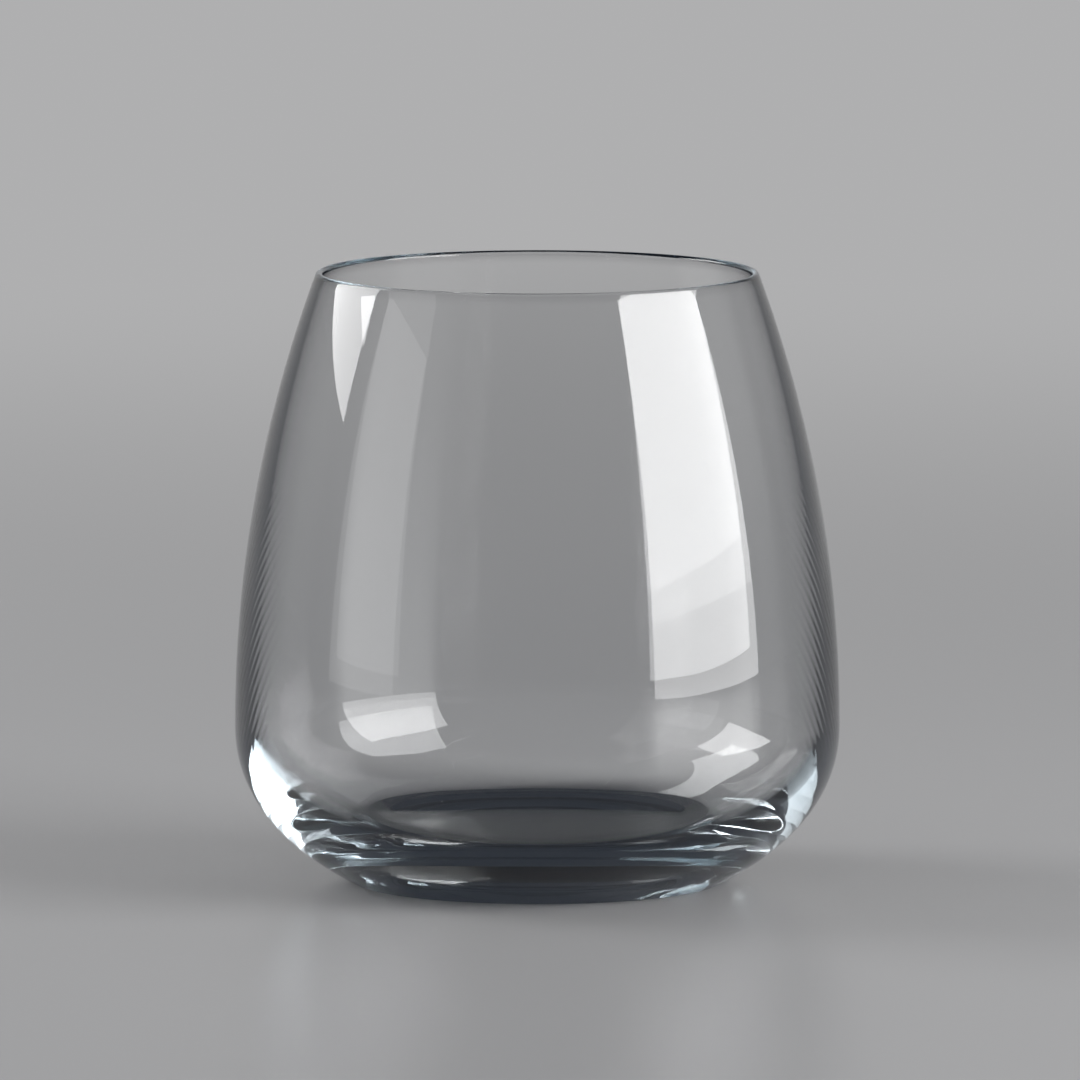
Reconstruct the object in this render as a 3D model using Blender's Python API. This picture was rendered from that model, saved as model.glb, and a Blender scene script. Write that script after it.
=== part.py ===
"""Rocks glass: a round tumbler made as one piece of clear glass.

The wall is widest low down and draws in to a thin round lip. The base is thick, and it
stands on a narrow flat ring around a shallow hollow. Lengths are in metres, +Z is up, and
the origin is on the glass's axis at table level.
"""
import math

import bpy
from mathutils import Vector

# Outside of the wall
HEIGHT = 0.0920                     # table to the top of the lip
MOUTH_DIAMETER = 0.0667             # over the outside of the lip
BELLY_DIAMETER = 0.0910             # widest circle
BELLY_HEIGHT = 0.0235               # level of the widest circle
FLANK_ANGLE = math.radians(62.0)    # slope of the flank where it reaches the foot, from upright
HEEL_RADIUS = 0.0010                # round between the flank and the table
FOOT_DIAMETER = 0.0553              # outer edge of the ring that touches the table

# Inside of the wall
LIP_WALL = 0.0012                   # wall at the lip, whose edge is a half round of this width
BELLY_WALL = 0.0028                 # wall where the inside is widest
CORNER_WIDTH = 0.0210               # quarter ellipse between the floor and the inside wall
CORNER_HEIGHT = 0.0180              # and its rise, from the flat floor to the widest level

# Base
BASE_THICKNESS = 0.0040             # glass on the axis, between floor and hollow
HOLLOW_DEPTH = 0.0023               # rise of the hollow under the base
RING_WIDTH = 0.0039                 # flat ring between the heel and the hollow

# Facets along each stretch of the outline, and around the axis
CORNER_FACETS = 8
WALL_FACETS = 8
LIP_FACETS = 8
FLANK_FACETS = 8
HEEL_FACETS = 2
HOLLOW_FACETS = 3
TURN_FACETS = 64
AXIS_REACH = 1e-5                   # points this close to the axis become one

# Finish
GLASS_COLOUR = (0.94, 0.97, 0.98, 1.0)
GLASS_ROUGHNESS = 0.02
GLASS_REFRACTIVE_INDEX = 1.52

# Directions in the outline's plane, where x is the radius and y the height
OUTWARD = 0.0
UPWARD = math.pi / 2
DOWNWARD = -math.pi / 2


def heading(start, end):
    """Angle of the line from one point of the outline's plane to another."""
    return math.atan2(end.y - start.y, end.x - start.x)


def oval(centre, width, height, start, end, facets):
    """Points on an ellipse of these half axes around centre, from angle start to angle end."""
    angles = [start + (end - start) * step / facets for step in range(facets + 1)]
    return [centre + Vector((width * math.cos(angle), height * math.sin(angle))) for angle in angles]


def arc(centre, radius, start, end, facets):
    """Points on a circle around centre, from angle start to angle end."""
    return oval(centre, radius, radius, start, end, facets)


def bowed(start, corner, end, facets):
    """Points on the parabola that leaves start towards corner and reaches end from it."""
    points = []
    for step in range(facets + 1):
        share = step / facets
        points.append(start.lerp(corner, share).lerp(corner.lerp(end, share), share))
    return points


def tangent_radius(inset, run, round_radius):
    """Radius of an arc that leaves a straight line and ends tangent to a small round.

    The round's centre lies run along the line and inset to the side of it. A round that lies
    outside the arc has a negative radius, and one of zero is a point on the arc.
    """
    return (inset**2 + run**2 - round_radius**2) / (2 * (inset - round_radius))


def chained(*runs):
    """One outline from runs of points that each start where the one before ends."""
    return runs[0] + [point for run in runs[1:] for point in run[1:]]


def inside_runs(lip_centre, lip_radius):
    """Runs from the floor's centre up to the lip, and the angle at which the lip starts."""
    floor = Vector((0.0, HOLLOW_DEPTH + BASE_THICKNESS))
    belly = Vector((BELLY_DIAMETER / 2 - BELLY_WALL, floor.y + CORNER_HEIGHT))
    corner_centre = belly - Vector((CORNER_WIDTH, 0.0))
    floor_edge = Vector((corner_centre.x, floor.y))

    wall_radius = tangent_radius(belly.x - lip_centre.x, lip_centre.y - belly.y, -lip_radius)
    wall_centre = belly - Vector((wall_radius, 0.0))
    wall_end = heading(wall_centre, lip_centre)

    runs = [
        [floor, floor_edge],
        oval(corner_centre, CORNER_WIDTH, CORNER_HEIGHT, DOWNWARD, OUTWARD, CORNER_FACETS),
        arc(wall_centre, wall_radius, OUTWARD, wall_end, WALL_FACETS),
    ]
    return runs, wall_end + math.pi


def outside_runs(lip_centre, lip_radius):
    """Runs from the lip down to the foot, and the angle at which the lip ends."""
    belly = Vector((BELLY_DIAMETER / 2, BELLY_HEIGHT))
    wall_radius = tangent_radius(belly.x - lip_centre.x, lip_centre.y - belly.y, lip_radius)
    wall_centre = belly - Vector((wall_radius, 0.0))
    wall_start = heading(wall_centre, lip_centre)

    heel_centre = Vector((FOOT_DIAMETER / 2, HEEL_RADIUS))
    heel = arc(heel_centre, HEEL_RADIUS, -FLANK_ANGLE, DOWNWARD, HEEL_FACETS)
    flank_end = heel[0]
    flank_rise = (belly.x - flank_end.x) / math.tan(FLANK_ANGLE)
    flank_corner = Vector((belly.x, flank_end.y + flank_rise))

    runs = [
        arc(wall_centre, wall_radius, wall_start, OUTWARD, WALL_FACETS),
        bowed(belly, flank_corner, flank_end, FLANK_FACETS),
        heel,
    ]
    return runs, wall_start


def underside_runs():
    """Runs from the heel across the flat ring and the hollow to the axis."""
    ring_outer = Vector((FOOT_DIAMETER / 2, 0.0))
    ring_inner = ring_outer - Vector((RING_WIDTH, 0.0))
    hollow_radius = tangent_radius(HOLLOW_DEPTH, ring_inner.x, 0.0)
    hollow_centre = Vector((0.0, HOLLOW_DEPTH - hollow_radius))
    hollow_start = heading(hollow_centre, ring_inner)
    return [
        [ring_outer, ring_inner],
        arc(hollow_centre, hollow_radius, hollow_start, UPWARD, HOLLOW_FACETS),
    ]


def glass_outline():
    """Half section of the glass: up the inside, over the lip, down the outside, under the base."""
    lip_radius = LIP_WALL / 2
    lip_centre = Vector((MOUTH_DIAMETER / 2 - lip_radius, HEIGHT - lip_radius))
    inside, lip_start = inside_runs(lip_centre, lip_radius)
    outside, lip_end = outside_runs(lip_centre, lip_radius)
    lip = arc(lip_centre, lip_radius, lip_start, lip_end, LIP_FACETS)
    return chained(*inside, lip, *outside, *underside_runs())


def clear_glass():
    """Colourless polished glass."""
    material = bpy.data.materials.new("clear_glass")
    material.use_nodes = True
    shader = material.node_tree.nodes["Principled BSDF"]
    shader.inputs["Base Color"].default_value = GLASS_COLOUR
    shader.inputs["Roughness"].default_value = GLASS_ROUGHNESS
    shader.inputs["Metallic"].default_value = 0.0
    shader.inputs["IOR"].default_value = GLASS_REFRACTIVE_INDEX
    shader.inputs["Transmission Weight"].default_value = 1.0
    return material


def turned(name, outline, material):
    """A solid of revolution: the outline, drawn at +X, turned once around Z."""
    corners = [(point.x, 0.0, point.y) for point in outline]
    edges = [(index, index + 1) for index in range(len(corners) - 1)]
    mesh = bpy.data.meshes.new(name)
    mesh.from_pydata(corners, edges, [])
    mesh.materials.append(material)

    solid = bpy.data.objects.new(name, mesh)
    bpy.context.scene.collection.objects.link(solid)
    turn = solid.modifiers.new("turn", "SCREW")
    turn.axis = "Z"
    turn.steps = TURN_FACETS
    turn.render_steps = TURN_FACETS
    turn.use_merge_vertices = True
    turn.merge_threshold = AXIS_REACH
    turn.use_smooth_shade = True
    return solid


for leftover in list(bpy.data.objects):
    bpy.data.objects.remove(leftover)

turned("tumbler", glass_outline(), clear_glass())
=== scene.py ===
import math

import bpy
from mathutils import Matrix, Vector


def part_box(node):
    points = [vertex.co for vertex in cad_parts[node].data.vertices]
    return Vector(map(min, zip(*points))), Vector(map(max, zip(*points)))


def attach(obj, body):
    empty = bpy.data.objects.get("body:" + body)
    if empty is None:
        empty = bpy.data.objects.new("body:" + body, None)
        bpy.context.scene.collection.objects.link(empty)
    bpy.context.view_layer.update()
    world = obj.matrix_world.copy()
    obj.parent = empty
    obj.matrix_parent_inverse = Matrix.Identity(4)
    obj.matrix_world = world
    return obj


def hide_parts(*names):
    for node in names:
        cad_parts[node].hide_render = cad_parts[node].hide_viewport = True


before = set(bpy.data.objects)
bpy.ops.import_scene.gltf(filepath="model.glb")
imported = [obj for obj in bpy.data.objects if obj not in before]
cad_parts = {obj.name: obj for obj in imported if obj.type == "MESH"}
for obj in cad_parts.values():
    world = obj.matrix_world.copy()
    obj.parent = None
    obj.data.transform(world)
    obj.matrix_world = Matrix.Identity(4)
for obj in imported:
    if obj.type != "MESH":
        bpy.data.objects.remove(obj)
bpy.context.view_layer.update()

# Sizes of the glass in metres: its height and width from the frame, the rest as in its design
LOWEST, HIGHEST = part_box("tumbler")
GLASS_SIZES = {
    "Height": HIGHEST.z - LOWEST.z,
    "Belly Diameter": HIGHEST.x - LOWEST.x,
    "Belly Height": 0.0235,
    "Mouth Diameter": 0.0667,
    "Flank Angle": math.radians(62.0),
    "Heel Radius": 0.0010,
    "Foot Diameter": 0.0553,
    "Lip Wall": 0.0012,
    "Belly Wall": 0.0028,
    "Corner Width": 0.0210,
    "Corner Height": 0.0180,
    "Base Thickness": 0.0040,
    "Hollow Depth": 0.0023,
    "Ring Width": 0.0039,
    "Wave Depth": 0.00003,      # slight unevenness of a blown wall
    "Wave Width": 0.014,
    "Wave Rise": 0.050,
    "Wave Seed": 7.3,
}

# Points along each stretch of the section, and steps around the axis
CORNER_POINTS = 48
WALL_POINTS = 56
LIP_POINTS = 22
FLANK_POINTS = 44
HEEL_POINTS = 9
HOLLOW_POINTS = 18
TURN_STEPS = 320
WELD_REACH = 2e-6

# Glass
REFRACTIVE_INDEX = 1.52
TINT = (0.80, 0.92, 0.98, 1.0)
TINT_DENSITY = 9.0
RIPPLE_PITCH = 0.0026           # fine slanting waves that the mould left at two sides of the belly
RIPPLE_HEIGHT = 0.0000035
RIPPLE_LEVELS = (0.016, 0.026, 0.052, 0.068)
RIPPLE_SIDES = (0.036, 0.043)
RIPPLE_SLANT = 1.5
RIPPLE_DRIFT = 0.0025           # how far a wave wanders up and down
DRIFT_SCALE = 45.0
DRIFT_DETAIL = 2.0
SMUDGE = 0.015                  # roughness of a smudge on the polished wall
SMUDGE_SCALE = 38.0
SMUDGE_DETAIL = 4.0
SMUDGE_SPREAD = (0.52, 0.75)
SCUFF = 0.20                    # roughness of a scratch in the ring that touches the table
SCUFF_SCALE = 900.0
SCUFF_DETAIL = 3.0
SCUFF_SPREAD = (0.45, 0.60)
SCUFF_RISE = 0.0001
LIGHT_BOUNCES = 32              # light turns about many times in the thick base

# Camera, from the photograph's frame of 1080 by 1080 pixels
PHOTO_SIDE = 1080
FOCAL_PIXELS = 18403.1
CENTRE_COLUMN = 537.314
CENTRE_ROW = 576.195
SENSOR = 36.0
CAMERA_PLACE = Vector((0.0, -2.7463, 0.3669))
AIM = Vector((0.0, 0.0, 0.046))
FAR_CLIP = 40.0

# Stage
FLOOR_REACH = 14.0
FLOOR_ROUGHNESS = 0.35
STUDIO_TONE = (0.43, 0.43, 0.435, 1.0)
FLOOR_TONE = (0.40, 0.40, 0.405, 1.0)
# painted dark reflection: the tone that floor and air show to light turned about inside the glass, and to
# steep mirrored light overhead, so the glass's edges and rim look dark
PAINTED_DARK_TONE = (0.017, 0.021, 0.029, 1.0)
LIT_REACH = 0.2                 # the floor shows the lamps' light up to here, and is plain from the next on
PLAIN_REACH = 0.9
OVERHEAD = (0.15, 0.50)         # painted dark reflection: mirrored or seen light that climbs this steeply shows the dark tone, while light falling on the floor from there keeps the studio's tone
LAMP_DISTANCE = 0.8
LAMP_POWER = 4.0                # watts for each square metre of a lamp whose brightness is one
SOFTBOXES = {
    # degrees to the right of the camera's side, width, lowest, highest and brightness
    "right_softbox": (68, 0.70, 0.10, 0.63, 5.2),
    "right_skirt": (68, 0.70, 0.0, 0.10, 3.8),
    "left_fill": (-70, 0.42, 0.0, 0.45, 0.8),
    "left_softbox": (-111, 0.49, 0.26, 0.72, 5.0),
}


class Wire:
    """A socket of a node tree that takes part in Python sums: each operator adds a Math node."""

    def __init__(self, graph, socket):
        self.graph = graph
        self.socket = socket

    def __add__(self, other):
        return self.graph.maths("ADD", self, other)

    def __radd__(self, other):
        return self.graph.maths("ADD", other, self)

    def __sub__(self, other):
        return self.graph.maths("SUBTRACT", self, other)

    def __rsub__(self, other):
        return self.graph.maths("SUBTRACT", other, self)

    def __mul__(self, other):
        return self.graph.maths("MULTIPLY", self, other)

    def __rmul__(self, other):
        return self.graph.maths("MULTIPLY", other, self)

    def __truediv__(self, other):
        return self.graph.maths("DIVIDE", self, other)

    def __rtruediv__(self, other):
        return self.graph.maths("DIVIDE", other, self)

    def __neg__(self):
        return self.graph.maths("MULTIPLY", self, -1.0)


class Graph:
    """A node tree being wired up."""

    def __init__(self, tree):
        self.tree = tree

    def add(self, kind, settings=None, inputs=None, output=0):
        """Adds a node: its settings come first, then the values or wires of its sockets."""
        node = self.tree.nodes.new(kind)
        for name, value in (settings or {}).items():
            setattr(node, name, value)
        for key, value in (inputs or {}).items():
            for wire in value if isinstance(value, list) else [value]:
                self.plug(node.inputs[key], wire)
        return Wire(self, node.outputs[output]) if node.outputs else node

    def plug(self, socket, value):
        if isinstance(value, Wire):
            self.tree.links.new(value.socket, socket)
        else:
            socket.default_value = value

    def maths(self, operation, *values):
        return self.add("ShaderNodeMath", {"operation": operation}, dict(enumerate(values)))

    def point(self, x, y, z=0.0):
        return self.add("ShaderNodeCombineXYZ", {}, {"X": x, "Y": y, "Z": z})

    def axis(self, vector, name):
        return self.add("ShaderNodeSeparateXYZ", {}, {"Vector": vector}, name)

    def ramp(self, value, start, end):
        """Zero up to start, one from end on, and a smooth rise between them."""
        return self.add("ShaderNodeMapRange", {"interpolation_type": "SMOOTHSTEP"},
                        {"Value": value, "From Min": start, "From Max": end})

    def noise(self, place, scale, detail):
        return self.add("ShaderNodeTexNoise", {}, {"Vector": place, "Scale": scale, "Detail": detail})

    def blend(self, share, first, second):
        """The first colour where share is zero, the second where it is one."""
        return self.add("ShaderNodeMix", {"data_type": "RGBA"},
                        {"Factor": share, "A": first, "B": second}, "Result")

    def light(self, fact):
        """What is known of the light that arrives, such as how often it was mirrored."""
        return self.add("ShaderNodeLightPath", {}, {}, fact)


class Section(Graph):
    """The glass's half section, drawn in a plane where x is the radius and y the height."""

    def heading(self, start, end):
        """Angle of the line from one point to another."""
        return self.maths("ARCTAN2", end[1] - start[1], end[0] - start[0])

    def arc(self, centre, radius, start, end, points, stretch=1.0):
        """A round stretch, from angle start to angle end, drawn out in height by stretch."""
        curve = self.add("GeometryNodeCurveArc", {"mode": "RADIUS"}, {
            "Resolution": points,
            "Radius": radius,
            "Start Angle": start,
            "Sweep Angle": end - start,
        })
        return self.add("GeometryNodeTransform", {}, {
            "Geometry": curve,
            "Translation": self.point(*centre),
            "Scale": self.point(1.0, stretch, 1.0),
        })

    def line(self, start, end):
        """A straight stretch."""
        return self.add("GeometryNodeCurvePrimitiveLine", {},
                        {"Start": self.point(*start), "End": self.point(*end)})

    def inside(self, size, lip, lip_radius):
        """Floor, corner and wall of the inside, and the angle at which the lip starts."""
        floor = size["Hollow Depth"] + size["Base Thickness"]
        belly = (size["Belly Diameter"] / 2.0 - size["Belly Wall"], floor + size["Corner Height"])
        corner = (belly[0] - size["Corner Width"], belly[1])
        stretch = size["Corner Height"] / size["Corner Width"]
        wall_radius = tangent_radius(belly[0] - lip[0], lip[1] - belly[1], -lip_radius)
        wall = (belly[0] - wall_radius, belly[1])
        wall_end = self.heading(wall, lip)
        runs = [
            self.line((0.0, floor), (corner[0], floor)),
            self.arc(corner, size["Corner Width"], -math.pi / 2, 0.0, CORNER_POINTS, stretch),
            self.arc(wall, wall_radius, 0.0, wall_end, WALL_POINTS),
        ]
        return runs, wall_end + math.pi

    def outside(self, size, lip, lip_radius):
        """Wall, flank and heel of the outside, and the angle at which the lip ends."""
        belly = (size["Belly Diameter"] / 2.0, size["Belly Height"])
        wall_radius = tangent_radius(belly[0] - lip[0], lip[1] - belly[1], lip_radius)
        wall = (belly[0] - wall_radius, belly[1])
        wall_start = self.heading(wall, lip)
        heel_radius = size["Heel Radius"]
        heel = (size["Foot Diameter"] / 2.0, heel_radius)
        cosine = self.maths("COSINE", size["Flank Angle"])
        sine = self.maths("SINE", size["Flank Angle"])
        flank_end = (heel[0] + heel_radius * cosine, heel_radius - heel_radius * sine)
        flank_corner = (belly[0], flank_end[1] + (belly[0] - flank_end[0]) * cosine / sine)
        flank = self.add("GeometryNodeCurveQuadraticBezier", {}, {
            "Resolution": FLANK_POINTS,
            "Start": self.point(*belly),
            "Middle": self.point(*flank_corner),
            "End": self.point(*flank_end),
        })
        runs = [
            self.arc(wall, wall_radius, wall_start, 0.0, WALL_POINTS),
            flank,
            self.arc(heel, heel_radius, -size["Flank Angle"], -math.pi / 2, HEEL_POINTS),
        ]
        return runs, wall_start

    def underside(self, size):
        """The ring that touches the table, and the hollow inside it."""
        ring_outer = size["Foot Diameter"] / 2.0
        ring_inner = ring_outer - size["Ring Width"]
        hollow_radius = tangent_radius(size["Hollow Depth"], ring_inner, 0.0)
        hollow = (0.0, size["Hollow Depth"] - hollow_radius)
        ring = self.line((ring_outer, 0.0), (ring_inner, 0.0))
        hollow_start = self.heading(hollow, (ring_inner, 0.0))
        return [ring, self.arc(hollow, hollow_radius, hollow_start, math.pi / 2, HOLLOW_POINTS)]

    def whole(self, size):
        """Every stretch: up the inside, over the lip, down the outside and under the base."""
        lip_radius = size["Lip Wall"] / 2.0
        lip = (size["Mouth Diameter"] / 2.0 - lip_radius, size["Height"] - lip_radius)
        inside, lip_start = self.inside(size, lip, lip_radius)
        outside, lip_end = self.outside(size, lip, lip_radius)
        rim = self.arc(lip, lip_radius, lip_start, lip_end, LIP_POINTS)
        return self.add("GeometryNodeJoinGeometry", {},
                        {"Geometry": [*inside, rim, *outside, *self.underside(size)]})

    def turned(self, section, radius):
        """The section turned once around the axis, along a circle of the given radius."""
        path = self.add("GeometryNodeCurvePrimitiveCircle", {"mode": "RADIUS"},
                        {"Resolution": TURN_STEPS, "Radius": radius})
        hung = self.add("GeometryNodeTransform", {}, {
            "Geometry": section,
            "Translation": self.point(-radius, 0.0),
            "Rotation": (math.pi, 0.0, 0.0),
        })
        shell = self.add("GeometryNodeCurveToMesh", {}, {"Curve": path, "Profile Curve": hung})
        return self.add("GeometryNodeMergeByDistance", {}, {"Geometry": shell, "Distance": WELD_REACH})

    def waved(self, shell, size):
        """The shell pressed in here and there by a hair, more around it than up it."""
        place = self.add("GeometryNodeInputPosition")
        normal = self.add("GeometryNodeInputNormal")
        spread = self.point(1.0 / size["Wave Width"], 1.0 / size["Wave Width"], 1.0 / size["Wave Rise"])
        scaled = self.add("ShaderNodeVectorMath", {"operation": "MULTIPLY"}, {0: place, 1: spread})
        waves = self.add("ShaderNodeTexNoise", {"noise_dimensions": "4D"}, {
            "Vector": scaled,
            "W": size["Wave Seed"],
            "Scale": 1.0,
            "Detail": 1.0,
        })
        above_foot = self.ramp(self.axis(place, "Z"), size["Hollow Depth"], size["Belly Height"])
        push = self.add("ShaderNodeVectorMath", {"operation": "SCALE"},
                        {0: normal, "Scale": -size["Wave Depth"] * waves * above_foot})
        return self.add("GeometryNodeSetPosition", {}, {"Geometry": shell, "Offset": push})


def tangent_radius(inset, run, round_radius):
    """Radius of an arc that leaves a straight line and ends tangent to a small round.

    The round's centre lies run along the line and inset to the side of it. A round that lies
    outside the arc has a negative radius, and one of zero is a point on the arc.
    """
    return (inset * inset + run * run - round_radius * round_radius) / (2.0 * (inset - round_radius))


def tumbler_nodes():
    """Geometry nodes for the glass, with an input for each of its sizes and one for its finish."""
    tree = bpy.data.node_groups.new("turned_tumbler", "GeometryNodeTree")
    for name in GLASS_SIZES:
        tree.interface.new_socket(name, in_out="INPUT", socket_type="NodeSocketFloat")
    tree.interface.new_socket("Finish", in_out="INPUT", socket_type="NodeSocketMaterial")
    tree.interface.new_socket("Glass", in_out="OUTPUT", socket_type="NodeSocketGeometry")

    graph = Section(tree)
    entry = tree.nodes.new("NodeGroupInput")
    size = {name: Wire(graph, entry.outputs[name]) for name in (*GLASS_SIZES, "Finish")}
    shell = graph.turned(graph.whole(size), size["Belly Diameter"] / 2.0)
    shell = graph.waved(shell, size)
    shell = graph.add("GeometryNodeSetShadeSmooth", {}, {"Geometry": shell})
    shell = graph.add("GeometryNodeRealizeInstances", {}, {"Geometry": shell})
    shell = graph.add("GeometryNodeSetMaterial", {}, {"Geometry": shell, "Material": size["Finish"]})
    graph.add("NodeGroupOutput", {}, {"Glass": shell})
    return tree


def shown(name, data):
    """A mesh, lamp or camera placed in the scene, at the origin."""
    thing = bpy.data.objects.new(name, data)
    bpy.context.scene.collection.objects.link(thing)
    return thing


def blown_tumbler(finish):
    """The glass as a plain mesh, from its nodes."""
    blank = shown("tumbler_blank", bpy.data.meshes.new("tumbler_blank"))
    turn = blank.modifiers.new("turn", "NODES")
    turn.node_group = tumbler_nodes()
    values = {**GLASS_SIZES, "Finish": finish}
    for socket in turn.node_group.interface.items_tree:
        if socket.name in values:
            turn[socket.identifier] = values[socket.name]
    evaluated = blank.evaluated_get(bpy.context.evaluated_depsgraph_get())
    mesh = bpy.data.meshes.new_from_object(evaluated)
    mesh.name = "blown_tumbler"
    bpy.data.objects.remove(blank)
    return shown("blown_tumbler", mesh)


def ripple(graph, place, height):
    """Height of the fine waves at two sides of the belly, which fade out towards foot and mouth."""
    rise, full, fade, gone = RIPPLE_LEVELS
    wander = RIPPLE_DRIFT * (graph.noise(place, DRIFT_SCALE, DRIFT_DETAIL) - 0.5)
    turns = (height + RIPPLE_SLANT * graph.axis(place, "Y") + wander) * (2.0 * math.pi / RIPPLE_PITCH)
    band = graph.ramp(height, rise, full) * (1.0 - graph.ramp(height, fade, gone))
    sides = graph.ramp(graph.maths("ABSOLUTE", graph.axis(place, "X")), *RIPPLE_SIDES)
    return RIPPLE_HEIGHT * graph.maths("SINE", turns) * band * sides


def wear(graph, place, height):
    """Roughness: polished, with faint smudges on the wall and a scuffed ring under the foot."""
    smudges = graph.ramp(graph.noise(place, SMUDGE_SCALE, SMUDGE_DETAIL), *SMUDGE_SPREAD)
    scratches = graph.ramp(graph.noise(place, SCUFF_SCALE, SCUFF_DETAIL), *SCUFF_SPREAD)
    on_ring = 1.0 - graph.ramp(height, 0.0, SCUFF_RISE)
    return SMUDGE * smudges + SCUFF * scratches * on_ring


def clear_glass():
    """Colourless glass with the faint cool tint of its thickness."""
    material = bpy.data.materials.new("clear_glass_finish")
    material.use_nodes = True
    tree = material.node_tree
    shader = tree.nodes["Principled BSDF"]
    shader.inputs["Base Color"].default_value = (1, 1, 1, 1)
    shader.inputs["IOR"].default_value = REFRACTIVE_INDEX
    shader.inputs["Transmission Weight"].default_value = 1.0
    graph = Graph(tree)
    place = graph.add("ShaderNodeTexCoord", {}, {}, "Object")
    height = graph.axis(place, "Z")
    graph.plug(shader.inputs["Roughness"], wear(graph, place, height))
    relief = graph.add("ShaderNodeBump", {}, {"Height": ripple(graph, place, height), "Distance": 1.0})
    graph.plug(shader.inputs["Normal"], relief)
    tint = graph.add("ShaderNodeVolumeAbsorption", {}, {"Color": TINT, "Density": TINT_DENSITY})
    graph.plug(tree.nodes["Material Output"].inputs["Volume"], tint)
    return material


def pale_tone_and_painted_dark(graph, pale):
    """A pale tone of the studio, with a painted dark reflection for light that has been turned about inside
    the glass.
    """
    trapped = graph.light("Glossy Depth") * graph.light("Transmission Depth")
    return graph.blend(graph.maths("MINIMUM", trapped, 1.0), pale, PAINTED_DARK_TONE)


def seen(graph):
    """One for light that the camera sees directly, mirrored or through glass."""
    direct = graph.light("Is Camera Ray")
    through = graph.light("Is Transmission Ray")
    return graph.maths("MINIMUM", direct + graph.light("Is Glossy Ray") + through, 1.0)


def floor_finish():
    """Pale grey that takes the glass's shadow and fades to the studio's plain tone farther out, with a
    painted dark reflection for light turned about inside the glass.
    """
    material = bpy.data.materials.new("pale_floor")
    material.use_nodes = True
    tree = material.node_tree
    graph = Graph(tree)
    shader = tree.nodes["Principled BSDF"]
    graph.plug(shader.inputs["Base Color"], pale_tone_and_painted_dark(graph, FLOOR_TONE))
    shader.inputs["Roughness"].default_value = FLOOR_ROUGHNESS
    place = graph.add("ShaderNodeTexCoord", {}, {}, "Object")
    distance = graph.add("ShaderNodeVectorMath", {"operation": "LENGTH"}, {0: place}, "Value")
    far = graph.ramp(distance, LIT_REACH, PLAIN_REACH)
    tone = pale_tone_and_painted_dark(graph, STUDIO_TONE)
    glow = graph.add("ShaderNodeEmission", {}, {"Color": tone, "Strength": seen(graph)})
    mixed = graph.add("ShaderNodeMixShader", {}, {0: far, 1: Wire(graph, shader.outputs[0]), 2: glow})
    graph.plug(tree.nodes["Material Output"].inputs["Surface"], mixed)
    return material


def plain_floor():
    """A wide square at table level, which is also the background."""
    mesh = bpy.data.meshes.new("floor")
    reach = FLOOR_REACH
    corners = [(-reach, -reach, 0.0), (reach, -reach, 0.0), (reach, reach, 0.0), (-reach, reach, 0.0)]
    mesh.from_pydata(corners, [], [(0, 1, 2, 3)])
    mesh.materials.append(floor_finish())
    shown("floor", mesh)


def studio_air():
    """The studio's tone all around, and a painted dark reflection overhead: dark except to the light that
    falls on the floor.
    """
    world = bpy.data.worlds.new("studio_air")
    world.use_nodes = True
    graph = Graph(world.node_tree)
    climb = graph.axis(graph.add("ShaderNodeTexCoord", {}, {}, "Generated"), "Z")
    overhead = graph.ramp(climb, *OVERHEAD) * (1.0 - graph.light("Is Diffuse Ray"))
    tone = graph.blend(overhead, pale_tone_and_painted_dark(graph, STUDIO_TONE), PAINTED_DARK_TONE)
    graph.plug(world.node_tree.nodes["Background"].inputs["Color"], tone)
    bpy.context.scene.world = world


def softbox(name, azimuth, width, lowest, highest, radiance):
    """A soft upright lamp that faces the glass and isn't seen itself."""
    angle = math.radians(azimuth)
    lamp = bpy.data.lights.new(name, "AREA")
    lamp.shape = "RECTANGLE"
    lamp.size = width
    lamp.size_y = highest - lowest
    lamp.energy = LAMP_POWER * lamp.size * lamp.size_y * radiance
    box = shown(name, lamp)
    away = Vector((math.sin(angle), -math.cos(angle), 0.0))
    box.location = away * LAMP_DISTANCE + Vector((0.0, 0.0, (lowest + highest) / 2))
    box.rotation_euler = (-away).to_track_quat("-Z", "Y").to_euler()
    box.visible_camera = False


def camera():
    """A camera with the photograph's place and frame."""
    lens = bpy.data.cameras.new("camera")
    lens.sensor_width = SENSOR
    lens.lens = SENSOR * FOCAL_PIXELS / PHOTO_SIDE
    lens.shift_x = (PHOTO_SIDE / 2 - CENTRE_COLUMN) / PHOTO_SIDE
    lens.shift_y = (CENTRE_ROW - PHOTO_SIDE / 2) / PHOTO_SIDE
    lens.clip_end = FAR_CLIP
    eye = shown("camera", lens)
    eye.location = CAMERA_PLACE
    eye.rotation_euler = (AIM - CAMERA_PLACE).to_track_quat("-Z", "Y").to_euler()
    bpy.context.scene.camera = eye


camera()
glass = blown_tumbler(clear_glass())
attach(glass, "root")
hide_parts("tumbler")
plain_floor()
for name, values in SOFTBOXES.items():
    softbox(name, *values)
studio_air()
scene = bpy.context.scene
scene.view_settings.view_transform = "Standard"
scene.cycles.max_bounces = LIGHT_BOUNCES
scene.cycles.glossy_bounces = LIGHT_BOUNCES
scene.cycles.transmission_bounces = LIGHT_BOUNCES
